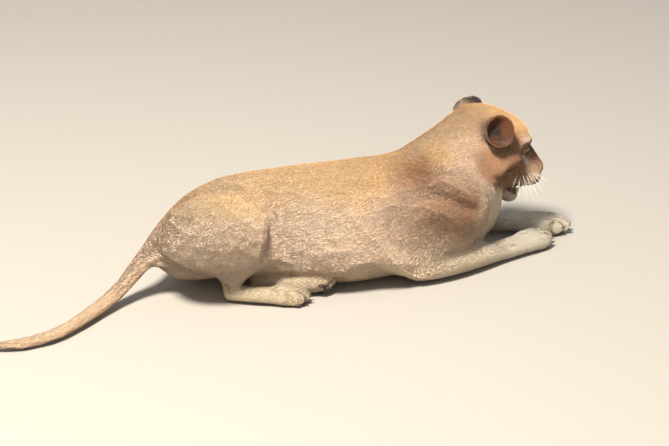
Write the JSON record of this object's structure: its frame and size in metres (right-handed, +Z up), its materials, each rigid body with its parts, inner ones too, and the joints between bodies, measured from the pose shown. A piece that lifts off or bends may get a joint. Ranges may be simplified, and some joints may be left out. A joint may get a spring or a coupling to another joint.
{
  "type": "lioness",
  "caption": "Life-size still model of a lioness lying on her belly, head raised, forelegs stretched ahead, hips rolled to one side and tail laid out behind.",
  "frame": {"origin": "middle of the model's box, at the floor she lies on", "axes": "+X from the rump to the head, +Y to her left, +Z up"},
  "size_m": [2.1922, 0.443, 0.5094],
  "materials": {
    "sandy_coat": "short dense fur",
    "pale_coat": "short pale fur",
    "dark_hair": "dark hair",
    "nose_leather": "pebbled, satin",
    "eye": "wet, glossy",
    "tongue": "moist",
    "teeth": "polished ivory"
  },
  "bodies": {
    "root": {"head": "sandy_coat", "lower_jaw": "pale_coat", "nose": "nose_leather", "tongue": "tongue", "eye_right": "eye", "eye_left": "eye", "ear_right": "dark_hair", "ear_left": "dark_hair", "upper_canine_right": "teeth", "upper_canine_left": "teeth", "lower_canine_right": "teeth", "lower_canine_left": "teeth", "neck": "sandy_coat", "chest": "sandy_coat", "belly": "sandy_coat", "rump": "sandy_coat", "shoulder_right": "sandy_coat", "shoulder_left": "sandy_coat", "thigh_right": "sandy_coat", "thigh_left": "sandy_coat", "foreleg_right": "sandy_coat", "foreleg_left": "sandy_coat", "forepaw_right": "pale_coat", "forepaw_left": "pale_coat", "hindfoot_right": "pale_coat", "hindfoot_left": "pale_coat", "tail_base": "sandy_coat", "tail_middle": "sandy_coat", "tail_end": "sandy_coat", "tail_tuft": "dark_hair"}
  },
  "joints": []
}
